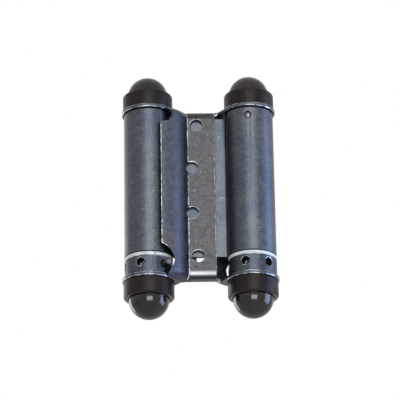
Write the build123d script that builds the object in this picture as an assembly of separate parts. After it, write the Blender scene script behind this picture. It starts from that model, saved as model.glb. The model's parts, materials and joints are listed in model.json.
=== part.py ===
"""Double-action spring hinge, folded shut, 180 degrees symmetric about the vertical centre axis.

A rolled bridge carries two spring tubes. Each leaf is a pressed pan whose lugs close
over the ends of one tube, and an axle through the lugs carries that tube. A coil spring in the
tube is wound up by the tension collar under it, and a stop pin holds the collar to the leaf.
The origin is the middle of the hinge, +Z runs along the tubes and -Y faces the viewer.
"""
from build123d import *
import math
import os

os.makedirs("parts", exist_ok=True)

# driving sizes, in millimetres
leaf_height = 76.0          # over the outer faces of the two lugs
axis_spacing = 42.6         # between the two tube axes
sheet = 1.5                 # thickness of every pressed sheet
tube_radius = 10.0          # outside of the rolled tube
face_gap = 0.3              # free play between faces that turn past each other
running_gap = 0.06          # radial play of a shaft in its bore

# bridge
web_bend_radius = 1.5       # inside of the bend between the flat web and the tube
seam_angle = 8.0            # what the rolled edge stops short of a full turn
web_top_drop = 1.5          # the web's top edge stops this far under the tubes, clear of the rims

# leaves
plate_end = 6.6             # free end of the flat plate, from the centre
crease = 4.8                # line where the plate meets the curved wall, from the centre
wall_radius = 17.6          # outer radius of the curved wall
wall_edge = 15.9            # free edge of the wall, from the centre
wall_play = 0.45            # from the tube to the wall's free edge
rim_radius = 4.0            # outer radius of the rolled-in top and bottom rims
lug_overhang = 0.9          # round lug beyond the tube, at each end of it
plate_corner = 1.6          # corner radius at the plate's free end
screw_hole_radius = 2.6
outer_hole_x = 1.0          # outer screw holes, from the centre towards their own tube
inner_hole_x = 3.1          # inner screw holes, which cut into the crease
outer_hole_spacing = 58.4
inner_hole_spacing = 20.2
hole_pattern_z = 1.9        # centre of both hole pairs

# notches in the wall beside the lugs
notch_foot = 13.2           # where both notches run into the lug, from the centre
top_notch_height = 6.3
top_notch_x = 10.7          # deepest point, from the centre
stop_notch_height = 12.3
stop_notch_x = 10.6
stop_notch_z = 6.7          # height of its deepest point over the lug
upper_bow_x = 1.9           # middle of the notch's upper edge, from its deepest point
upper_bow_drop = 2.2        # and from the notch's top
lower_bow_x = 0.7           # middle of the notch's lower edge, from its deepest point
lower_bow_drop = 0.4        # and from half of its height
neck_end = 8.0              # where the back edge of the lug's neck meets the centre plane
neck_depth = 7.2            # how far the neck reaches behind the tube axis

# tension collar and its washer
collar_height = 7.5
washer_thickness = 1.5
collar_hole_count = 6
collar_hole_radius = 1.8
collar_hole_depth = 4.6
collar_hole_z = 4.6         # hole centres over the foot of the collar
collar_first_angle = 41.0   # first hole, from the front towards the centre
stop_pin_radius = 1.6
stop_pin_length = 7.8

# inside the tube
axle_radius = 3.0
spring_wire = 2.0
spring_radius = 6.3         # to the middle of the wire
spring_turns = 18.0
plug_height = 6.0
plug_recess = 0.5           # from the tube's top edge down to the plug
collar_guide = 3.5          # how far the collar's guide reaches into the tube
plug_spigot = 3.0           # height of the spigot that carries an end of the spring
spigot_gap = 0.3            # from the spigot to the inside of the coil
anchor_pin_radius = 1.5
anchor_angle = 175.0        # from the front; it shows on the right tube
anchor_pin_depth = 3.2
anchor_pin_recess = 0.3

# caps
cap_overhang = 0.4          # beyond the tube
cap_height = 7.1            # up to the foot of the dome
dome_step = 2.0             # from the cap's edge in to the dome
cap_chamfer = 0.9
cap_wall = 1.6
cap_boss_wall = 1.2
nut_width = 8.0
nut_height = 2.6
axle_tail = 4.4             # length of the axle past the lug's outer face

# worked out from the sizes above
half_height = leaf_height / 2
axis_x = axis_spacing / 2
lug_radius = tube_radius + lug_overhang
cap_radius = tube_radius + cap_overhang
dome_radius = cap_radius - dome_step
lug_inner_z = half_height - sheet
collar_top_z = -lug_inner_z + collar_height
washer_top_z = collar_top_z + washer_thickness
tube_bottom_z = washer_top_z + face_gap
tube_top_z = lug_inner_z - face_gap
tube_length = tube_top_z - tube_bottom_z
tube_bore = tube_radius - sheet
plate_back = sheet / 2 + face_gap
plate_front = plate_back + sheet
centre_gap = face_gap / 2
lug_bore = axle_radius + running_gap
plug_radius = tube_bore
plug_top_z = tube_top_z - plug_recess
anchor_z = plug_top_z - plug_height / 2
collar_guide_radius = tube_bore - running_gap
collar_guide_z = tube_bottom_z + collar_guide
spring_low_z = collar_guide_z + face_gap
stop_pin_z = collar_hole_z - lug_inner_z
spigot_radius = spring_radius - spring_wire / 2 - spigot_gap


def drum(radius, bottom, top, x=0.0):
    """A plain round bar between two heights."""
    return Pos(x, 0, bottom) * Cylinder(radius, top - bottom, align=(Align.CENTER, Align.CENTER, Align.MIN))


def block(x_low, x_high, y_low, y_high, z_low, z_high):
    """A box given by its limits."""
    box = Box(x_high - x_low, y_high - y_low, z_high - z_low)
    return Pos((x_low + x_high) / 2, (y_low + y_high) / 2, (z_low + z_high) / 2) * box


def ring(radius, bore, bottom, top, x=0.0):
    """A drum with a hole through it."""
    return drum(radius, bottom, top, x) - drum(bore, bottom - 1, top + 1, x)


def radial_bar(radius, start, end, angle, z):
    """A bar pointing out of the left tube axis; the angle runs from the front towards the centre."""
    bar = Cylinder(radius, end - start, align=(Align.CENTER, Align.CENTER, Align.MIN))
    direction = math.radians(angle)
    unit = Vector(math.sin(direction), -math.cos(direction), 0)
    foot = Vector(-axis_x, 0, z) + unit * start
    return Plane(origin=foot, z_dir=unit) * bar


def other_side(solid):
    """The same piece on the other tube, a half turn about the centre axis away."""
    return Rot(0, 0, 180) * solid


def wall_centre():
    """Centre of the curved wall's arc, from its free edge and the crease."""
    edge_radius = tube_radius + wall_play + sheet
    edge = Vector(-wall_edge, -math.sqrt(edge_radius**2 - (axis_x - wall_edge)**2))
    root = Vector(-crease, -plate_front)
    chord = root - edge
    rise = math.sqrt(wall_radius**2 - (chord.length / 2)**2)
    inward = Vector(-chord.Y, chord.X).normalized()
    return (edge + root) * 0.5 + inward * rise


def pan(inset):
    """Everything behind the leaf's front face, set back by an inset, with both front rims rounded."""
    centre = wall_centre()
    radius = wall_radius - inset
    front = inset - plate_front
    edge_y = centre.Y - math.sqrt(radius**2 - (wall_edge + centre.X)**2)
    root_x = centre.X + math.sqrt(radius**2 - (front - centre.Y)**2)
    start = math.degrees(math.atan2(edge_y - centre.Y, -wall_edge - centre.X))
    end = math.degrees(math.atan2(front - centre.Y, root_x - centre.X))
    wall = CenterArc((centre.X, centre.Y), radius, start, end - start)
    rest = Polyline((root_x, front), (plate_end, front), (plate_end, lug_radius),
                    (-wall_edge, lug_radius), (-wall_edge, edge_y))
    height = leaf_height - 2 * inset
    solid = Pos(0, 0, -height / 2) * extrude(make_face([wall, rest]), height)
    rims = solid.edges().group_by(Axis.Z)[0] + solid.edges().group_by(Axis.Z)[-1]
    rims = [edge for edge in rims if edge.center().Y < front + face_gap and edge.length > sheet]
    return fillet(rims, rim_radius - inset)


def leaf_back():
    """What lies behind the leaf: past the centre plane, and past the neck of the lug."""
    low = -leaf_height
    behind = block(-neck_end, axis_x, -centre_gap, axis_x, low, -low)
    outline = Polyline((-neck_end, -centre_gap), (-neck_end, axis_x), (-axis_x, axis_x),
                       (-axis_x, neck_depth), (-notch_foot, neck_depth), close=True)
    return behind + Pos(0, 0, low) * extrude(make_face(outline), 2 * leaf_height)


def stop_notch():
    """Cut beside the tension collar; the stop pin rests on its edge."""
    foot = -lug_inner_z
    deep = (-stop_notch_x, foot + stop_notch_z)
    start = (-wall_edge, foot + stop_notch_height)
    outside = -wall_edge - sheet
    upper_middle = (-stop_notch_x - upper_bow_x, foot + stop_notch_height - upper_bow_drop)
    lower_middle = (-stop_notch_x - lower_bow_x, foot + stop_notch_z / 2 - lower_bow_drop)
    upper = ThreePointArc(start, upper_middle, deep)
    lower = ThreePointArc(deep, lower_middle, (-notch_foot, foot))
    rest = Polyline((-notch_foot, foot), (outside, foot), (outside, foot + stop_notch_height), start)
    return notch_cutter(make_face([upper, lower, rest]))


def top_notch():
    """Round-ended slot between the upper lug and the curved wall."""
    radius = top_notch_height / 2
    middle = lug_inner_z - radius
    slot = Pos(-top_notch_x - radius, middle) * Circle(radius)
    length = wall_edge + sheet - top_notch_x - radius
    slot = slot + Pos(-top_notch_x - radius - length / 2, middle) * Rectangle(length, top_notch_height)
    return notch_cutter(slot)


def notch_cutter(face):
    """Turn a flat outline in X and Z into a cutter that passes through the front wall."""
    return extrude(Plane.XZ * face, axis_x, both=True) & block(-axis_x, 0, -axis_x, 0, -leaf_height, leaf_height)


def screw_holes():
    """The four screw holes of one leaf, staggered to both sides of a line."""
    cutters = []
    for x, spacing in ((outer_hole_x, outer_hole_spacing), (inner_hole_x, inner_hole_spacing)):
        for side in (-1, 1):
            bar = Rot(90, 0, 0) * Cylinder(screw_hole_radius, axis_x)
            cutters.append(Pos(-x, -plate_back, hole_pattern_z + side * spacing / 2) * bar)
    return cutters


def leaf():
    """One pressed leaf: flat plate, curved wall, rolled-in rims and a lug over each tube end."""
    shell = pan(0.0) - pan(sheet) - leaf_back()
    shell = shell - stop_notch() - top_notch()
    ends = []
    for low, high in ((-half_height, -lug_inner_z), (lug_inner_z, half_height)):
        shell = shell - block(-axis_x, -notch_foot, -axis_x, axis_x, low, high)
        ends.append(drum(lug_radius, low, high, -axis_x))
    shell = shell + ends
    shell = shell - drum(lug_bore, -leaf_height, leaf_height, -axis_x)
    for cutter in screw_holes():
        shell = shell - cutter
    corners = block(plate_end - plate_corner, plate_end + 1, -axis_x, 0, -half_height - 1, half_height + 1)
    keep = block(-axis_x, plate_end, -axis_x, 0, -half_height, half_height)
    keep = fillet(keep.edges().filter_by(Axis.Y).group_by(Axis.X)[-1], plate_corner)
    return shell - (corners - keep)


def bridge_half():
    """Flat web from the centre to the right tube, the bend and the tube, rolled round its back."""
    middle = tube_radius - sheet / 2
    bend = web_bend_radius + sheet / 2
    turn = math.degrees(math.acos(bend / (bend + middle)))
    web_end = axis_x + middle * math.cos(math.radians(90 + turn)) - bend * math.sin(math.radians(turn))
    path = [
        Line((0, 0), (web_end, 0)),
        CenterArc((web_end, bend), bend, -90, turn),
        CenterArc((axis_x, 0), middle, 90 + turn, seam_angle - 270 - turn),
    ]
    return trace(path, line_width=sheet)


def bridge():
    """One rolled sheet: both spring tubes and the web between them, with a hole for each anchor pin."""
    half = bridge_half()
    section = half + Rot(0, 0, 180) * half
    solid = Pos(0, 0, tube_bottom_z) * extrude(section, tube_length)
    half_web = axis_x - tube_radius
    solid = solid - block(-half_web, half_web, -axis_x, axis_x, tube_top_z - web_top_drop, leaf_height)
    hole = radial_bar(anchor_pin_radius, tube_bore - 1, tube_radius + 1, anchor_angle, anchor_z)
    return solid - hole - other_side(hole)


def top_plug():
    """Turned plug in the top of the tube: it runs on the axle and holds the spring's upper end."""
    plug = drum(plug_radius, plug_top_z - plug_height, plug_top_z, -axis_x)
    plug = plug + drum(spigot_radius, plug_top_z - plug_height - plug_spigot, plug_top_z - 1, -axis_x)
    plug = plug - drum(lug_bore, -leaf_height, leaf_height, -axis_x)
    return plug - radial_bar(anchor_pin_radius, tube_radius - anchor_pin_depth, tube_radius, anchor_angle, anchor_z)


def anchor_pin():
    """Short pin pressed through the tube into the plug, a little below the tube's surface."""
    end = tube_radius - anchor_pin_recess
    return radial_bar(anchor_pin_radius, tube_radius - anchor_pin_depth, end, anchor_angle, anchor_z)


def spring():
    """Square-wire torsion spring between the spigots of the plug and the collar."""
    low = spring_low_z + spring_wire / 2
    high = plug_top_z - plug_height - spring_wire / 2
    coil = Helix((high - low) / spring_turns, high - low, spring_radius)
    section = Plane(origin=coil @ 0, z_dir=coil % 0, x_dir=(1, 0, 0)) * Rectangle(spring_wire, spring_wire)
    wire = sweep(section, path=coil, is_frenet=True)
    return Pos(-axis_x, 0, low) * wire


def tension_collar():
    """Collar under the tube, with radial holes for the winding bar and a spigot inside the tube."""
    collar = drum(tube_radius, -lug_inner_z, collar_top_z, -axis_x)
    collar = collar + drum(collar_guide_radius, -lug_inner_z, collar_guide_z, -axis_x)
    collar = collar + drum(spigot_radius, -lug_inner_z, collar_guide_z + plug_spigot, -axis_x)
    collar = collar - drum(lug_bore, -leaf_height, leaf_height, -axis_x)
    for index in range(collar_hole_count):
        angle = collar_first_angle + index * 360 / collar_hole_count
        foot = tube_radius - collar_hole_depth
        collar = collar - radial_bar(collar_hole_radius, foot, tube_radius + 1, angle, stop_pin_z)
    return collar


def stop_pin():
    """Pin that stands in one collar hole and rests on the edge of the leaf's notch."""
    foot = tube_radius - collar_hole_depth
    pin = radial_bar(stop_pin_radius, foot, foot + stop_pin_length, collar_first_angle, stop_pin_z)
    return chamfer(pin.edges().filter_by(GeomType.CIRCLE), stop_pin_radius / 5)


def washer():
    """White plastic washer between the collar and the tube."""
    return ring(tube_radius, tube_bore, collar_top_z, washer_top_z, -axis_x)


def axle():
    """Plain axle through both lugs, with a tail at each end for its nut and cap."""
    reach = half_height + axle_tail
    bar = drum(axle_radius, -reach, reach, -axis_x)
    return chamfer(bar.edges().filter_by(GeomType.CIRCLE), axle_radius / 8)


def nut():
    """Flat hexagon nut on the upper tail of the axle."""
    prism = extrude(RegularPolygon(nut_width / 2, 6, major_radius=False), nut_height)
    prism = Pos(-axis_x, 0, half_height) * prism
    return prism - drum(lug_bore, -leaf_height, leaf_height, -axis_x)


def cap():
    """Hollow moulded cap over the upper nut: a chamfered collar, a dome and a boss on the axle's tail."""
    collar = drum(cap_radius, 0, cap_height)
    collar = chamfer(collar.edges().filter_by(GeomType.CIRCLE).sort_by(Axis.Z)[-1], cap_chamfer)
    shell = collar + Pos(0, 0, cap_height) * Sphere(dome_radius)
    shell = shell & block(-cap_radius, cap_radius, -cap_radius, cap_radius, 0, leaf_height)
    hollow_radius = dome_radius - cap_wall
    hollow = drum(hollow_radius, -1, cap_height) + Pos(0, 0, cap_height) * Sphere(hollow_radius)
    boss = ring(lug_bore + cap_boss_wall, lug_bore, nut_height + face_gap, cap_height + hollow_radius)
    shell = shell - hollow + (boss & (drum(dome_radius, 0, cap_height) + Pos(0, 0, cap_height) * Sphere(dome_radius)))
    return Pos(-axis_x, 0, half_height) * shell


def below(solid):
    """The same piece at the lower end of the left tube."""
    return Pos(-axis_x, 0, 0) * Rot(180, 0, 0) * Pos(axis_x, 0, 0) * solid


def save(name, solid):
    """Write one piece as its own STEP file."""
    solid.label = name
    export_step(solid, f"parts/{name}.step")


pieces = {
    "leaf": leaf(),
    "axle": axle(),
    "top_nut": nut(),
    "bottom_nut": below(nut()),
    "top_cap": cap(),
    "bottom_cap": below(cap()),
    "top_plug": top_plug(),
    "anchor_pin": anchor_pin(),
    "spring": spring(),
    "washer": washer(),
    "tension_collar": tension_collar(),
    "stop_pin": stop_pin(),
}

save("bridge", bridge())
for name, piece in pieces.items():
    save(f"jamb_{name}", piece)
    save(f"door_{name}", other_side(piece))
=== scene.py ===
"""Looks of a zinc-plated double-action spring hinge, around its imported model.

Every length is in metres. The bridge, the leaves and the tension collars are copies of the
model's own meshes with their cut edges broken. Caps, washers and pins are surfaces turned round
an axis, worked out with numpy. Axles, nuts, top plugs and springs are the model's own.
"""
import json
import math

import bmesh
import bpy
import numpy as np
from mathutils import Matrix, Vector


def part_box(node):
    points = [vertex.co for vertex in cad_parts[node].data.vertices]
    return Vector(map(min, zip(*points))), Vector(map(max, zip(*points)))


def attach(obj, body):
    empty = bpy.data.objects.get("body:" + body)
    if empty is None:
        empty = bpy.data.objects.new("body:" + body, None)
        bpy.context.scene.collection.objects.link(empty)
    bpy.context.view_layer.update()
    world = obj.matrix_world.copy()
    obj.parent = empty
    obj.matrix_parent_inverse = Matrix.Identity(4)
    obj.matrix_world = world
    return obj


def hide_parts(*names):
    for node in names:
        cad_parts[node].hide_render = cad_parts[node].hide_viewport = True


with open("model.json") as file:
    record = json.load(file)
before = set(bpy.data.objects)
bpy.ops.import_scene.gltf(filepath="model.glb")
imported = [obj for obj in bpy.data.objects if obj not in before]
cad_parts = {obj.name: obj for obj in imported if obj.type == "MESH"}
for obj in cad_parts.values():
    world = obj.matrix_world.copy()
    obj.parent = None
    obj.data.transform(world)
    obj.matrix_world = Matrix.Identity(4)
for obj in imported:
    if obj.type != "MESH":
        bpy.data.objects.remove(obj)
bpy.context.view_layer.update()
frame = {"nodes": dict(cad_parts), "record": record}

MM = 0.001
# each leaf's tube, and the side of the hinge that it stands on
TUBES = {"jamb": -1, "door": 1}

# camera, fitted to the photograph: turn, rise and roll in degrees
CAMERA_TURN = 0.65
CAMERA_RISE = -21.77
CAMERA_ROLL = -0.95
CAMERA_DISTANCE = 0.949
CLIP_START = 0.01
PIXELS_PER_METRE = 2407.0
IMAGE_SIZE = 400
SENSOR = 36.0
ORIGIN_PIXEL = (199.6, 196.4)

# soft lamps: name, place, width and height, watts, colour
WHITE_LIGHT = (1.0, 1.0, 1.0)
LAMPS = (
    ("by the camera", (0.09, -1.36, -0.34), (0.8, 0.7), 15.0, WHITE_LIGHT),
    ("front strip", (0.12, -1.4, 0.55), (0.9, 0.35), 8.0, WHITE_LIGHT),
    ("cool side", (1.3, -0.1, -0.1), (0.8, 1.2), 26.0, (0.45, 0.56, 1.0)),
    ("left rear", (-0.9, 0.9, 0.0), (0.5, 1.0), 5.0, (1.0, 0.97, 0.94)),
)
WORLD_LIGHT = 0.4
FLOOR_Z = -0.55
FLOOR_SIZE = 6.0
FLOOR_COLOUR = (0.86, 0.86, 0.86, 1.0)
FLOOR_ROUGHNESS = 0.8
FLOOR_GLOW = (0.94, 0.94, 0.94, 1.0)
FLOOR_GLOW_SHARE = 0.7

# sizes of the model that the new surfaces follow
AXIS_X = 21.3 * MM
TUBE_RADIUS = 10.0 * MM
TUBE_BORE = 8.5 * MM
SHEET = 1.5 * MM
CREASE = 4.8 * MM
PLATE_FRONT = 2.55 * MM
WALL_RADIUS = 17.6 * MM
WALL_EDGE = 15.9 * MM
WALL_PLAY = 0.45 * MM

# pins; foot and tip count from the tube's axis, and the turns run from the leaf's front
PIN_HEIGHT = -31.9 * MM
PIN_TURN = 41.0
PIN_RADIUS = 1.6 * MM
PIN_FOOT = 5.4 * MM
PIN_TIP = 13.2 * MM
ANCHOR_HEIGHT = 32.7 * MM
ANCHOR_TURN = 175.0
ANCHOR_RADIUS = 1.2 * MM
ANCHOR_FOOT = TUBE_RADIUS - 3.2 * MM
ANCHOR_SHANK = 2.8 * MM
ANCHOR_DOME = 0.3 * ANCHOR_RADIUS

# caps
CAP_RADIUS = 10.4 * MM
CAP_HEIGHT = 7.1 * MM
CAP_SHOULDER = 0.9 * MM
CAP_FOOT_ROUND = 0.35 * MM
CAP_WALL = 1.6 * MM
DOME_RADIUS = 8.4 * MM
DOME_FOOT_DEPTH = 0.25 * MM
BOSS_BORE = 3.06 * MM
BOSS_WALL = 1.2 * MM
BOSS_FOOT = 2.9 * MM

# washers; the slit's turn runs from the leaf's front
WASHER_ROUND = 0.35 * MM
SLIT_TURN = 16.0
SLIT_WIDTH = 0.35 * MM

# steps round a turned piece, and along the arcs of its outline
TURN_STEPS = 160
PIN_STEPS = 48
CORNER_STEPS = 6
SHOULDER_STEPS = 10
DOME_STEPS = 40
CROWN_STEPS = 10
HOLLOW_STEPS = 16
TIP_STEPS = 10
ANCHOR_DOME_STEPS = 12

# broken edges of the copies; angles in degrees
MERGE = 1e-7
FLAT_ANGLE = 0.1
SHARP_EDGE = (38.0, 110.0)
SHORT_EDGE = 2.0 * MM
CRAMPED_RINGS = 2
EDGE_BREAK = 0.3 * MM
BEVEL_SEGMENTS = 2
MITRE_SPREAD = 0.02 * MM
SLIVER = 0.002 * MM

# shading; angles in degrees
COPY_SMOOTHING = 32
TURNED_SMOOTHING = 35
SURFACE_MATCH = 0.02 * MM
FLAT_MATCH = 0.99995
ROUND_MATCH = 0.97

# patterns: cycles per metre, detail and roughness of the noise
ZINC_CLOUDS = (90.0, 3.0, 0.55)
ZINC_MOTTLE = (420.0, 4.0, 0.6)
ZINC_CRYSTALS = (1500.0, 3.0, 0.6)
ZINC_SPECKS = (700.0, 1.0, 0.55)
ZINC_SCRATCHES = (620.0, 5.0, 0.75)
EDGE_WEAR = (500.0, 4.0, 0.55)
TURNING_RINGS = (2400.0, 3.0, 0.55)
WIRE_RINGS = (900.0, 3.0, 0.55)
CAP_MOTTLE = (160.0, 4.0, 0.55)
CAP_GRAIN = (5200.0, 2.0, 0.55)
WASHER_MARKS = (420.0, 5.0, 0.55)
SCRATCH_STRETCH = (2.5, 2.5, 0.25)
RING_STRETCH = (0.05, 0.05, 1.0)

# shares: the span of a pattern that counts, and how much of the new tone shows at its two ends
CLOUD_SHARE = (0.38, 0.62, 0.0, 1.0)
MOTTLE_SHARE = (0.34, 0.62, 0.65, 0.0)
CRYSTAL_SHARE = (0.5, 0.85, 0.0, 0.75)
PLATE_MOTTLE_SHARE = (0.35, 0.6, 0.0, 1.0)
PLATE_CRYSTAL_SHARE = (0.5, 0.85, 0.0, 0.6)
SPECK_SHARE = (0.74, 0.8, 0.0, 0.5)
SCRATCH_SHARE = (0.7, 0.74, 0.0, 0.4)
EDGE_SHARE = (0.42, 0.6, 0.0, 1.0)
RING_SHARE = (0.35, 0.7, 0.0, 1.0)
CAP_SHARE = (0.35, 0.7, 0.0, 1.0)
WASHER_SHARE = (0.45, 0.75, 0.0, 1.0)
GLOSS_SPAN = (0.3, 0.7)

# bumps: height and strength
CRYSTAL_BUMP = (0.04 * MM, 0.5)
MOTTLE_BUMP = (0.06 * MM, 0.35)
EDGE_BUMP = (0.04 * MM, 0.4)
RING_BUMP = (0.02 * MM, 0.6)
CAP_BUMP = (0.01 * MM, 0.35)
WASHER_BUMP = (0.03 * MM, 0.6)

# zinc: the grey and the blue of each piece, and factors for the darker and lighter tones
TUBE_ZINC = ((0.080, 0.090, 0.099), (0.055, 0.066, 0.091))
COLLAR_ZINC = ((0.060, 0.069, 0.079), (0.044, 0.054, 0.073))
LEAF_ZINC = ((0.084, 0.092, 0.101), (0.058, 0.069, 0.095))
DARKER = 0.55
LIGHTER = 1.9
RUBBED = 4.0
ZINC_ROUGHNESS = (0.35, 0.49)

# the leaf's flat plate, calmer than its curved wall, and bands of painted light and shade across
# its foot:
# a painted highlight on the bend, painted shade under it and painted light on the lower rim, each
# with the four heights where it begins, is full, starts to fade and ends
CREASE_BLEND = 0.8 * MM
PLATE_GREY = (0.053, 0.054, 0.056)
PLATE_DARK = (0.026, 0.027, 0.029)
PLATE_LIGHT = (0.13, 0.132, 0.135)
# painted highlight: a bright band along the plate's bottom bend
PAINTED_HIGHLIGHT_BEND = ((-33.6 * MM, -34.5 * MM, -35.1 * MM, -35.9 * MM), (0.29, 0.30, 0.30))
# painted shade: a dark line under the plate's bottom bend
PAINTED_SHADE_BEND = ((-35.8 * MM, -36.2 * MM, -36.5 * MM, -37.1 * MM), (0.036, 0.037, 0.039))
# painted light: a lighter band on the rounded lower rim, which faces down
PAINTED_LIGHT_RIM = ((-36.9 * MM, -37.2 * MM, -40.0 * MM, -41.0 * MM), (0.15, 0.15, 0.155))

# other finishes
EDGE_TONES = ((0.09, 0.10, 0.115), (0.46, 0.48, 0.50))
EDGE_ROUGHNESS = 0.34
STEEL = (0.20, 0.205, 0.215)
SPRING_STEEL = (0.10, 0.10, 0.11)
OILED_STEEL = (0.09, 0.093, 0.10)
RING_DARKER = 0.6
STEEL_ROUGHNESS = (0.25, 0.38)
SPRING_ROUGHNESS = (0.30, 0.43)
CAP_TONES = ((0.003, 0.0021, 0.0018), (0.0095, 0.0052, 0.004))
CAP_SHEEN = 0.16
CAP_ROUGHNESS = (0.39, 0.45)
DOME_SHEEN = 0.4
DOME_ROUGHNESS = (0.09, 0.15)
WASHER_TONES = ((0.42, 0.47, 0.47), (0.27, 0.31, 0.31))
WASHER_ROUGHNESS = 0.45
NYLON_DEPTH = 1.0 * MM
NYLON_DEPTH_SHARE = 0.1


def new_material(name):
    """A new material, with its node tree, its shader and its object coordinates."""
    material = bpy.data.materials.new(name)
    material.use_nodes = True
    tree = material.node_tree
    tree.nodes.clear()
    output = tree.nodes.new("ShaderNodeOutputMaterial")
    shader = tree.nodes.new("ShaderNodeBsdfPrincipled")
    tree.links.new(shader.outputs["BSDF"], output.inputs["Surface"])
    place = tree.nodes.new("ShaderNodeTexCoord")
    return material, tree, shader, place.outputs["Object"]


def stretched(tree, place, scale):
    """Object coordinates scaled along each axis; a small scale draws a pattern out."""
    mapping = tree.nodes.new("ShaderNodeMapping")
    mapping.inputs["Scale"].default_value = scale
    tree.links.new(place, mapping.inputs["Vector"])
    return mapping.outputs["Vector"]


def noise(tree, vector, scale, detail, roughness):
    """Noise in cycles per metre."""
    node = tree.nodes.new("ShaderNodeTexNoise")
    node.inputs["Scale"].default_value = scale
    node.inputs["Detail"].default_value = detail
    node.inputs["Roughness"].default_value = roughness
    tree.links.new(vector, node.inputs["Vector"])
    return node.outputs["Fac"]


def spread(tree, value, low, high, out_low=0.0, out_high=1.0):
    """Stretch a value's range from low..high to out_low..out_high, clamped."""
    node = tree.nodes.new("ShaderNodeMapRange")
    node.inputs["From Min"].default_value = low
    node.inputs["From Max"].default_value = high
    node.inputs["To Min"].default_value = out_low
    node.inputs["To Max"].default_value = out_high
    tree.links.new(value, node.inputs["Value"])
    return node.outputs["Result"]


def combined(tree, operation, first, second):
    """Two values put together by one operation of the Math node, such as MULTIPLY."""
    node = tree.nodes.new("ShaderNodeMath")
    node.operation = operation
    tree.links.new(first, node.inputs[0])
    tree.links.new(second, node.inputs[1])
    return node.outputs[0]


def blend_colour(tree, factor, first, second):
    """Mix two colours, each a tuple or another node's colour."""
    node = tree.nodes.new("ShaderNodeMix")
    node.data_type = "RGBA"
    tree.links.new(factor, node.inputs["Factor"])
    for name, colour in (("A", first), ("B", second)):
        socket = [s for s in node.inputs if s.name == name and s.type == "RGBA"][0]
        if isinstance(colour, tuple):
            socket.default_value = (*colour, 1.0)
        else:
            tree.links.new(colour, socket)
    return [s for s in node.outputs if s.type == "RGBA"][0]


def patterned(tree, pattern, share, first, second):
    """Mix two colours by a pattern; the share says where the second shows, and how much."""
    return blend_colour(tree, spread(tree, pattern, *share), first, second)


def toned(colour, factor):
    """A darker or lighter tone of a colour."""
    return tuple(min(1.0, factor * part) for part in colour)


def vary_roughness(tree, shader, pattern, rough):
    """Let the roughness wander with a pattern, from the first value to the second."""
    tree.links.new(spread(tree, pattern, *GLOSS_SPAN, *rough), shader.inputs["Roughness"])


def bump(tree, shader, height, distance, strength, under=None):
    """Bump from a height, over another bump if one is given."""
    node = tree.nodes.new("ShaderNodeBump")
    node.inputs["Strength"].default_value = strength
    node.inputs["Distance"].default_value = distance
    tree.links.new(height, node.inputs["Height"])
    if under is not None:
        tree.links.new(under, node.inputs["Normal"])
    tree.links.new(node.outputs["Normal"], shader.inputs["Normal"])
    return node.outputs["Normal"]


def coordinate(tree, place, axis):
    """One of the three object coordinates, by its letter."""
    axes = tree.nodes.new("ShaderNodeSeparateXYZ")
    tree.links.new(place, axes.inputs["Vector"])
    return axes.outputs[axis]


def flat_share(tree, place, side):
    """1 on a leaf's flat plate and 0 on its curved wall; side is its tube's, -1 or 1."""
    across = coordinate(tree, place, "X")
    return spread(tree, across, side * CREASE, side * (CREASE - CREASE_BLEND))


def height_band(tree, place, band):
    """1 between the two middle heights of a band, fading to 0 at its two outer ones."""
    height = coordinate(tree, place, "Z")
    begins, full, fades, ends = band
    upper = spread(tree, height, begins, full)
    return combined(tree, "MULTIPLY", upper, spread(tree, height, ends, fades))


def zinc(name, tones, side=0):
    """Zinc plate on pressed steel; side is given for a leaf alone, as its tube's, -1 or 1.

    Bluish clouds, dark mottle, fine light crystals, rubbed specks and short upright scratches.
    On a leaf, a calmer flat plate, and painted bands across its foot: a painted highlight on
    the bend, painted shade under it and painted light on the lower rim.
    """
    material, tree, shader, place = new_material(name)
    clouds = noise(tree, place, *ZINC_CLOUDS)
    mottle = noise(tree, place, *ZINC_MOTTLE)
    crystals = noise(tree, place, *ZINC_CRYSTALS)
    specks = noise(tree, place, *ZINC_SPECKS)
    scratches = noise(tree, stretched(tree, place, SCRATCH_STRETCH), *ZINC_SCRATCHES)
    grey, blue = tones
    colour = patterned(tree, clouds, CLOUD_SHARE, grey, blue)
    colour = patterned(tree, mottle, MOTTLE_SHARE, colour, toned(grey, DARKER))
    colour = patterned(tree, crystals, CRYSTAL_SHARE, colour, toned(grey, LIGHTER))
    if side:
        plate = flat_share(tree, place, side)
        calm = patterned(tree, mottle, PLATE_MOTTLE_SHARE, PLATE_DARK, PLATE_GREY)
        calm = patterned(tree, crystals, PLATE_CRYSTAL_SHARE, calm, PLATE_LIGHT)
        colour = blend_colour(tree, plate, colour, calm)
    colour = patterned(tree, specks, SPECK_SHARE, colour, toned(grey, RUBBED))
    colour = patterned(tree, scratches, SCRATCH_SHARE, colour, toned(grey, RUBBED))
    if side:
        # painted highlight on the bend, painted shade under it and painted light on the lower rim,
        # on the flat plate only
        for band, tone in (PAINTED_HIGHLIGHT_BEND, PAINTED_SHADE_BEND, PAINTED_LIGHT_RIM):
            share = combined(tree, "MULTIPLY", height_band(tree, place, band), plate)
            colour = blend_colour(tree, share, colour, tone)
    tree.links.new(colour, shader.inputs["Base Color"])
    shader.inputs["Metallic"].default_value = 1.0
    vary_roughness(tree, shader, mottle, ZINC_ROUGHNESS)
    grain = bump(tree, shader, crystals, *CRYSTAL_BUMP)
    bump(tree, shader, mottle, *MOTTLE_BUMP, under=grain)
    return material


def rubbed_edge(name):
    """Cut and handled edges, where the zinc is rubbed bright."""
    material, tree, shader, place = new_material(name)
    wear = noise(tree, place, *EDGE_WEAR)
    tree.links.new(patterned(tree, wear, EDGE_SHARE, *EDGE_TONES), shader.inputs["Base Color"])
    shader.inputs["Metallic"].default_value = 1.0
    shader.inputs["Roughness"].default_value = EDGE_ROUGHNESS
    bump(tree, shader, wear, *EDGE_BUMP)
    return material


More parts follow.
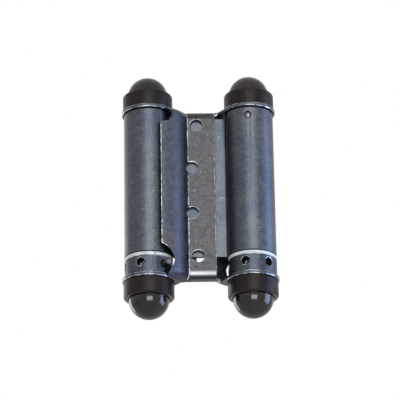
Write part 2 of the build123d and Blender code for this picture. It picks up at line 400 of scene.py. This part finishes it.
def bright_steel(name, colour, rough, ring_noise):
    """Turned or drawn steel: fine rings round the upright axis, with small changes of tone."""
    material, tree, shader, place = new_material(name)
    rings = noise(tree, stretched(tree, place, RING_STRETCH), *ring_noise)
    colour = patterned(tree, rings, RING_SHARE, toned(colour, RING_DARKER), colour)
    tree.links.new(colour, shader.inputs["Base Color"])
    shader.inputs["Metallic"].default_value = 1.0
    vary_roughness(tree, shader, rings, rough)
    bump(tree, shader, rings, *RING_BUMP)
    return material


def cap_plastic(name, sheen, rough):
    """Dark brown moulded plastic, faintly mottled, with a fine grain."""
    material, tree, shader, place = new_material(name)
    mottle = noise(tree, place, *CAP_MOTTLE)
    grain = noise(tree, place, *CAP_GRAIN)
    tree.links.new(patterned(tree, mottle, CAP_SHARE, *CAP_TONES), shader.inputs["Base Color"])
    shader.inputs["Specular IOR Level"].default_value = sheen
    vary_roughness(tree, shader, mottle, rough)
    bump(tree, shader, grain, *CAP_BUMP)
    return material


def washer_plastic(name):
    """Off-white nylon with grey handling marks."""
    material, tree, shader, place = new_material(name)
    marks = noise(tree, place, *WASHER_MARKS)
    colour = patterned(tree, marks, WASHER_SHARE, *WASHER_TONES)
    tree.links.new(colour, shader.inputs["Base Color"])
    shader.inputs["Roughness"].default_value = WASHER_ROUGHNESS
    shader.inputs["Subsurface Weight"].default_value = NYLON_DEPTH_SHARE
    shader.inputs["Subsurface Scale"].default_value = NYLON_DEPTH
    bump(tree, shader, marks, *WASHER_BUMP)
    return material


SLOT_FINISHES = {
    "zinc_tube": zinc("zinc on the rolled bridge", TUBE_ZINC),
    "zinc_collar": zinc("zinc on the tension collar", COLLAR_ZINC),
    "turned_steel": bright_steel("turned steel", STEEL, STEEL_ROUGHNESS, TURNING_RINGS),
    "spring_steel": bright_steel(
        "oiled spring steel", SPRING_STEEL, SPRING_ROUGHNESS, WIRE_RINGS
    ),
    "white_washer": washer_plastic("white nylon"),
    "dark_cap": cap_plastic("dark brown plastic", CAP_SHEEN, CAP_ROUGHNESS),
}
LEAF_FINISHES = {
    side: zinc(f"zinc on the {side} leaf", LEAF_ZINC, side=sign) for side, sign in TUBES.items()
}
RUBBED_EDGE = rubbed_edge("rubbed zinc edge")
OILED_PIN = bright_steel("oiled stop pin", OILED_STEEL, STEEL_ROUGHNESS, TURNING_RINGS)
POLISHED_CAP = cap_plastic("polished dome of a cap", DOME_SHEEN, DOME_ROUGHNESS)


def dress(obj, slot):
    """Give an object the one material of its slot, or of its own leaf."""
    obj.data.materials.clear()
    if slot == "zinc_sheet":
        obj.data.materials.append(LEAF_FINISHES[obj.name.split("_")[0]])
    else:
        obj.data.materials.append(SLOT_FINISHES[slot])


def add_object(name, data):
    """Put a mesh, a lamp or a camera in the scene."""
    obj = bpy.data.objects.new(name, data)
    bpy.context.scene.collection.objects.link(obj)
    return obj


def values_of(elements, name, width=3, kind=np.float64):
    """One property of all of a mesh's elements, a row for each."""
    values = np.empty(len(elements) * width, dtype=kind)
    elements.foreach_get(name, values)
    return values.reshape(-1, width)


def wall_axis():
    """Centre of the left leaf's curved wall, seen from above.

    It is the centre of an arc of the wall's radius through its free edge and the crease: the
    middle of the chord, plus the arc's rise square to it.
    """
    edge_radius = TUBE_RADIUS + WALL_PLAY + SHEET
    edge = np.array([-WALL_EDGE, -math.sqrt(edge_radius**2 - (AXIS_X - WALL_EDGE) ** 2)])
    root = np.array([-CREASE, -PLATE_FRONT])
    chord = root - edge
    length = math.hypot(*chord)
    rise = math.sqrt(WALL_RADIUS**2 - (length / 2) ** 2)
    return (edge + root) / 2 + np.array([-chord[1], chord[0]]) / length * rise


def round_surfaces():
    """Axis and radius of each upright round surface of tubes, collars and curved walls."""
    wall = wall_axis()
    found = []
    for sign in TUBES.values():
        found += [((sign * AXIS_X, 0.0), radius) for radius in (TUBE_RADIUS, TUBE_BORE)]
    for sign in TUBES.values():
        centre = tuple(-sign * wall)
        found += [(centre, WALL_RADIUS), (centre, WALL_RADIUS - SHEET)]
    return found


def true_normals(mesh):
    """Shade each corner by the surface it lies on.

    The normal is square to a flat face, and points out from or in to the axis of a round one.
    """
    corners = values_of(mesh.loops, "vertex_index", 1, np.int32)[:, 0]
    place = values_of(mesh.vertices, "co")[corners]
    sizes = values_of(mesh.polygons, "loop_total", 1, np.int32)[:, 0]
    flat = np.repeat(values_of(mesh.polygons, "normal"), sizes, axis=0)
    normal = values_of(mesh.corner_normals, "vector")
    level = np.max(np.abs(flat), axis=1) > FLAT_MATCH
    normal[level] = flat[level]
    for centre, radius in round_surfaces():
        out = place[:, :2] - np.array(centre)
        reach = np.hypot(out[:, 0], out[:, 1])
        out = np.column_stack([out / reach[:, None], np.zeros(len(corners))])
        along = np.sum(out * flat, axis=1)
        on_it = (np.abs(reach - radius) < SURFACE_MATCH) & (np.abs(along) > ROUND_MATCH)
        normal[on_it] = out[on_it] * np.sign(along[on_it])[:, None]
    mesh.normals_split_custom_set(normal)


def smooth_by_angle(piece, degrees):
    """Smooth shading, with edges sharper than the angle kept crisp."""
    piece.data.polygons.foreach_set("use_smooth", np.ones(len(piece.data.polygons), dtype=bool))
    bpy.context.view_layer.objects.active = piece
    piece.select_set(True)
    bpy.ops.object.shade_smooth_by_angle(angle=math.radians(degrees))
    piece.select_set(False)


def mark_sharp_edges(work):
    """Weigh the edges for the bevel: 1 for a sharp one, unless it is cramped.

    A cramped edge is a short one within a few rings of a fold that is too acute to bevel.
    """
    weight = work.edges.layers.float.new("bevel_weight_edge")
    sharp, too_sharp = (math.radians(angle) for angle in SHARP_EDGE)
    acute = set()
    for edge in work.edges:
        if edge.calc_face_angle(0.0) > too_sharp:
            acute.update(edge.verts)
    cramped = set()
    for _ in range(CRAMPED_RINGS):
        for edge in work.edges:
            if edge.calc_length() < SHORT_EDGE and not acute.isdisjoint(edge.verts):
                cramped.add(edge)
        acute |= {vertex for edge in cramped for vertex in edge.verts}
    for edge in work.edges:
        wanted = sharp < edge.calc_face_angle(0.0) < too_sharp and edge not in cramped
        edge[weight] = float(wanted)


def merged_copy(node):
    """A model node's mesh, merged and free of flat edges, with its sharp edges marked."""
    mesh = bpy.data.meshes.new(f"{node}_merged")
    work = bmesh.new()
    work.from_mesh(frame["nodes"][node].data)
    bmesh.ops.remove_doubles(work, verts=work.verts, dist=MERGE)
    flat = math.radians(FLAT_ANGLE)
    bmesh.ops.dissolve_limit(work, angle_limit=flat, verts=work.verts, edges=work.edges)
    mark_sharp_edges(work)
    work.to_mesh(mesh)
    work.free()
    return mesh


def break_edges(piece, material_index):
    """Bevel a piece's marked edges, and clear away the slivers that this leaves."""
    bevel = piece.modifiers.new("broken edges", "BEVEL")
    bevel.width = EDGE_BREAK
    bevel.segments = BEVEL_SEGMENTS
    bevel.limit_method = "WEIGHT"
    bevel.use_clamp_overlap = False
    bevel.miter_outer = "MITER_ARC"
    bevel.miter_inner = "MITER_ARC"
    bevel.spread = MITRE_SPREAD
    bevel.material = material_index
    graph = bpy.context.evaluated_depsgraph_get()
    piece.data = bpy.data.meshes.new_from_object(piece.evaluated_get(graph))
    piece.modifiers.clear()
    work = bmesh.new()
    work.from_mesh(piece.data)
    bmesh.ops.dissolve_degenerate(work, dist=SLIVER, edges=work.edges)
    work.to_mesh(piece.data)
    work.free()


def finish_copy(node, slot, body, rubbed=True):
    """Replace a model node with a copy whose sharp edges are broken; rubbed ones are bright."""
    mesh = merged_copy(node)
    piece = add_object(f"{node}_finish", mesh)
    dress(piece, slot)
    if rubbed:
        mesh.materials.append(RUBBED_EDGE)
    break_edges(piece, 1 if rubbed else 0)
    smooth_by_angle(piece, COPY_SMOOTHING)
    true_normals(piece.data)
    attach(piece, body)
    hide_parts(node)


def arc(centre_r, centre_h, radius, start, end, steps):
    """Points of an arc in the plane of radius and height, from one angle in degrees to another.

    A point is the centre plus the arc's radius times the cosine and the sine of its angle.
    """
    angle = np.radians(np.linspace(start, end, steps))
    return np.stack(
        [centre_r + radius * np.cos(angle), centre_h + radius * np.sin(angle)], axis=1
    )


def lathe(name, profile, foot, axis, steps=TURN_STEPS, slit=None):
    """Turn a closed outline of radius and height round an axis, all the way or up to a slit.

    A point is the foot, plus the height along the axis, plus the radius times the cosine and the
    sine of the turn along two directions square to it. A slit is its direction and its width.
    """
    axis = Vector(axis).normalized()
    if slit:
        first = np.array(slit[0])
        half_slit = slit[1] / 2 / TUBE_RADIUS
        turn = np.linspace(half_slit, 2.0 * math.pi - half_slit, steps)[None, :, None]
    else:
        first = np.array(axis.orthogonal().normalized())
        turn = np.linspace(0.0, 2.0 * math.pi, steps, endpoint=False)[None, :, None]
    axis = np.array(axis)
    circle = np.cos(turn) * first + np.sin(turn) * np.cross(axis, first)
    radius, height = profile[:, 0][:, None, None], profile[:, 1][:, None, None]
    points = np.array(foot) + height * axis + radius * circle
    index = np.arange(len(profile) * steps).reshape(len(profile), steps)
    above = np.roll(index, -1, axis=0)
    faces = np.stack([index, np.roll(index, -1, 1), np.roll(above, -1, 1), above], axis=2)
    if slit:
        ends = [index[:, 0].tolist(), index[:, -1].tolist()]
        faces = faces[:, :-1].reshape(-1, 4).tolist() + ends
    else:
        faces = faces.reshape(-1, 4).tolist()
    mesh = bpy.data.meshes.new(name)
    mesh.from_pydata(points.reshape(-1, 3).tolist(), [], faces)
    work = bmesh.new()
    work.from_mesh(mesh)
    bmesh.ops.remove_doubles(work, verts=work.verts, dist=MERGE)
    loose = [edge for edge in work.edges if not edge.link_faces]
    bmesh.ops.delete(work, geom=loose, context="EDGES")
    bmesh.ops.recalc_face_normals(work, faces=work.faces)
    work.to_mesh(mesh)
    work.free()
    piece = add_object(name, mesh)
    smooth_by_angle(piece, TURNED_SMOOTHING)
    return piece


def cap_profile():
    """Closed outline of half a cap, from its foot up the outside and down the inside.

    Rounded foot, straight collar, quarter-round shoulder, a groove where the dome's quarter
    circle starts, and the hollow, a smaller circle about the same centre with a straight boss.
    """
    foot_centre = CAP_RADIUS - CAP_FOOT_ROUND
    foot = arc(foot_centre, CAP_FOOT_ROUND, CAP_FOOT_ROUND, -90, 0, CORNER_STEPS)
    shoulder_centre = (CAP_RADIUS - CAP_SHOULDER, CAP_HEIGHT - CAP_SHOULDER)
    shoulder = arc(*shoulder_centre, CAP_SHOULDER, 0, 90, SHOULDER_STEPS)
    dome_foot = math.sqrt(DOME_RADIUS**2 - DOME_FOOT_DEPTH**2)
    groove = [
        [dome_foot + DOME_FOOT_DEPTH, CAP_HEIGHT],
        [dome_foot, CAP_HEIGHT - DOME_FOOT_DEPTH],
    ]
    dome = arc(0.0, CAP_HEIGHT, DOME_RADIUS, 0, 90, DOME_STEPS)
    inside = DOME_RADIUS - CAP_WALL
    boss_edge = BOSS_BORE + BOSS_WALL
    bore_angle = math.degrees(math.acos(BOSS_BORE / inside))
    boss_angle = math.degrees(math.acos(boss_edge / inside))
    crown = arc(0.0, CAP_HEIGHT, inside, 90, bore_angle, CROWN_STEPS)
    boss = [[BOSS_BORE, BOSS_FOOT], [boss_edge, BOSS_FOOT]]
    hollow = arc(0.0, CAP_HEIGHT, inside, boss_angle, 0, HOLLOW_STEPS)
    mouth = [[inside, 0.0]]
    dome[-1, 0] = 0.0
    crown[0, 0] = 0.0
    return np.concatenate([foot, shoulder, groove, dome, crown, boss, hollow, mouth])


def washer_profile(low, high):
    """Closed outline of half a washer between two heights, its outer corners quarter-rounds."""
    centre = TUBE_RADIUS - WASHER_ROUND
    lower = arc(centre, low + WASHER_ROUND, WASHER_ROUND, -90, 0, CORNER_STEPS)
    upper = arc(centre, high - WASHER_ROUND, WASHER_ROUND, 0, 90, CORNER_STEPS)
    return np.concatenate([lower, upper, [[TUBE_BORE, high], [TUBE_BORE, low]]])


def stop_pin_profile():
    """Closed outline of half a stop pin: straight shank, and a quarter-round at its tip."""
    length = PIN_TIP - PIN_FOOT
    round_tip = PIN_RADIUS / 2
    tip = arc(PIN_RADIUS - round_tip, length - round_tip, round_tip, 0, 90, TIP_STEPS)
    return np.concatenate([[[0.0, 0.0], [PIN_RADIUS, 0.0]], tip, [[0.0, length]]])


def anchor_pin_profile():
    """Closed outline of half an anchor pin, which ends just under the tube's surface.

    Straight shank and a low dome: the arc of the circle through the shank's edge and the top,
    whose radius is (shank radius squared plus rise squared) over twice the rise.
    """
    sphere = (ANCHOR_RADIUS**2 + ANCHOR_DOME**2) / (2 * ANCHOR_DOME)
    half = math.degrees(math.asin(ANCHOR_RADIUS / sphere))
    centre = ANCHOR_SHANK + ANCHOR_DOME - sphere
    dome = arc(0.0, centre, sphere, 90 - half, 90, ANCHOR_DOME_STEPS)
    dome[-1, 0] = 0.0
    return np.concatenate([[[0.0, 0.0], [ANCHOR_RADIUS, 0.0]], dome])


def join(piece, slot, body, node):
    """Dress a new piece, let it ride on its body and stand for its model node."""
    dress(piece, slot)
    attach(piece, body)
    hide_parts(node)


def outward(sign, degrees):
    """Direction out of a tube's axis; the angle runs from its leaf's front towards the centre."""
    turn = math.radians(degrees)
    return np.array([math.sin(turn), -math.cos(turn), 0.0]) * -sign


def finish_past(mesh, foot, out, material):
    """Give the faces that lie past a foot point, in a direction, a second material."""
    past = (values_of(mesh.polygons, "center") - foot) @ out > 0.0
    mesh.materials.append(material)
    mesh.polygons.foreach_set("material_index", past.astype(np.int32))


def caps():
    """The four caps, each standing on the outer face of its lug, with a polished dome."""
    profile = cap_profile()
    for side, sign in TUBES.items():
        for end, up in (("top", 1), ("bottom", -1)):
            node = f"{side}_{end}_cap"
            low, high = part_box(node)
            base = low[2] if up > 0 else high[2]
            piece = lathe(f"{node}_finish", profile, (sign * AXIS_X, 0.0, base), (0.0, 0.0, up))
            join(piece, "dark_cap", side, node)
            dome_foot = np.array([0.0, 0.0, base + up * (CAP_HEIGHT - DOME_FOOT_DEPTH)])
            finish_past(piece.data, dome_foot, np.array([0.0, 0.0, up]), POLISHED_CAP)


def washers_and_pins():
    """Washer, stop pin and anchor pin of each tube; the right tube has them half a turn away."""
    upright = (0.0, 0.0, 1.0)
    for side, sign in TUBES.items():
        tube = np.array([sign * AXIS_X, 0.0, 0.0])
        low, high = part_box(f"{side}_washer")
        profile = washer_profile(low[2], high[2])
        slit = (outward(sign, SLIT_TURN), SLIT_WIDTH)
        piece = lathe(f"{side}_washer_finish", profile, tube, upright, slit=slit)
        join(piece, "white_washer", side, f"{side}_washer")
        out = outward(sign, PIN_TURN)
        foot = tube + out * PIN_FOOT + np.array([0.0, 0.0, PIN_HEIGHT])
        piece = lathe(f"{side}_stop_pin_finish", stop_pin_profile(), foot, out, PIN_STEPS)
        join(piece, "turned_steel", side, f"{side}_stop_pin")
        piece.data.materials[0] = OILED_PIN
        out = outward(sign, ANCHOR_TURN)
        foot = tube + out * ANCHOR_FOOT + np.array([0.0, 0.0, ANCHOR_HEIGHT])
        piece = lathe(f"{side}_anchor_pin_finish", anchor_pin_profile(), foot, out, PIN_STEPS)
        join(piece, "turned_steel", "bridge", f"{side}_anchor_pin")


def dress_model():
    """Give every model node its material, and the pressed pieces their broken edges."""
    for entry in frame["record"]["subparts"]:
        dress(frame["nodes"][entry["node"]], entry["material_slot"])
    finish_copy("bridge", "zinc_tube", "bridge", rubbed=False)
    for side in TUBES:
        finish_copy(f"{side}_leaf", "zinc_sheet", side)
        finish_copy(f"{side}_tension_collar", "zinc_collar", side)
    caps()
    washers_and_pins()


def camera():
    """Camera at the photograph's viewing angle, a little below the hinge."""
    angles = (CAMERA_TURN, CAMERA_RISE, CAMERA_ROLL)
    turn, rise, roll = (math.radians(angle) for angle in angles)
    level = math.cos(rise)
    forward = Vector((math.sin(turn) * level, math.cos(turn) * level, -math.sin(rise)))
    right = Vector((math.cos(turn), -math.sin(turn), 0.0))
    up = right.cross(forward)
    tilted_right = right * math.cos(roll) + up * math.sin(roll)
    tilted_up = up * math.cos(roll) - right * math.sin(roll)
    data = bpy.data.cameras.new("camera")
    data.sensor_width = SENSOR
    data.lens = PIXELS_PER_METRE * CAMERA_DISTANCE / IMAGE_SIZE * SENSOR
    data.shift_x = (IMAGE_SIZE / 2 - ORIGIN_PIXEL[0]) / IMAGE_SIZE
    data.shift_y = (ORIGIN_PIXEL[1] - IMAGE_SIZE / 2) / IMAGE_SIZE
    data.clip_start = CLIP_START
    obj = add_object("camera", data)
    axes = Matrix((tilted_right, tilted_up, -forward)).transposed().to_4x4()
    obj.matrix_world = Matrix.Translation(-forward * CAMERA_DISTANCE) @ axes
    bpy.context.scene.camera = obj


def soft_box(name, place, size, watts, colour):
    """Rectangular lamp that faces the hinge."""
    data = bpy.data.lights.new(name, "AREA")
    data.shape = "RECTANGLE"
    data.size, data.size_y = size
    data.energy = watts
    data.color = colour
    obj = add_object(name, data)
    obj.location = place
    obj.rotation_euler = (-Vector(place)).to_track_quat("-Z", "Y").to_euler()


def background_rays(tree):
    """1 for the rays that show the background: the camera's, and those mirrored or let through."""
    path = tree.nodes.new("ShaderNodeLightPath")
    seen = path.outputs["Is Camera Ray"]
    for kind in ("Is Transmission Ray", "Is Glossy Ray"):
        seen = combined(tree, "MAXIMUM", seen, path.outputs[kind])
    return seen


def studio():
    """White surroundings for the camera and for reflections, a softer grey for the light."""
    world = bpy.data.worlds.new("studio")
    bpy.context.scene.world = world
    world.use_nodes = True
    tree = world.node_tree
    background = tree.nodes["Background"]
    background.inputs["Color"].default_value = (1.0, 1.0, 1.0, 1.0)
    level = spread(tree, background_rays(tree), 0.0, 1.0, WORLD_LIGHT, 1.0)
    tree.links.new(level, background.inputs["Strength"])
    for lamp in LAMPS:
        soft_box(*lamp)


def floor():
    """Pale floor far below the hinge, which hangs in its own frame."""
    mesh = bpy.data.meshes.new("floor")
    half = FLOOR_SIZE / 2
    corners = [(x * half, y * half, FLOOR_Z) for x, y in ((-1, -1), (1, -1), (1, 1), (-1, 1))]
    mesh.from_pydata(corners, [], [(0, 1, 2, 3)])
    obj = add_object("floor", mesh)
    material, tree, shader, _ = new_material("pale floor")
    shader.inputs["Base Color"].default_value = FLOOR_COLOUR
    shader.inputs["Roughness"].default_value = FLOOR_ROUGHNESS
    glow = tree.nodes.new("ShaderNodeEmission")
    glow.inputs["Color"].default_value = FLOOR_GLOW
    mix = tree.nodes.new("ShaderNodeMixShader")
    share = spread(tree, background_rays(tree), 0.0, 1.0, 0.0, FLOOR_GLOW_SHARE)
    tree.links.new(share, mix.inputs[0])
    tree.links.new(shader.outputs["BSDF"], mix.inputs[1])
    tree.links.new(glow.outputs["Emission"], mix.inputs[2])
    output = [node for node in tree.nodes if node.type == "OUTPUT_MATERIAL"][0]
    tree.links.new(mix.outputs[0], output.inputs["Surface"])
    mesh.materials.append(material)


bpy.context.scene.view_settings.view_transform = "Standard"
camera()
studio()
floor()
dress_model()
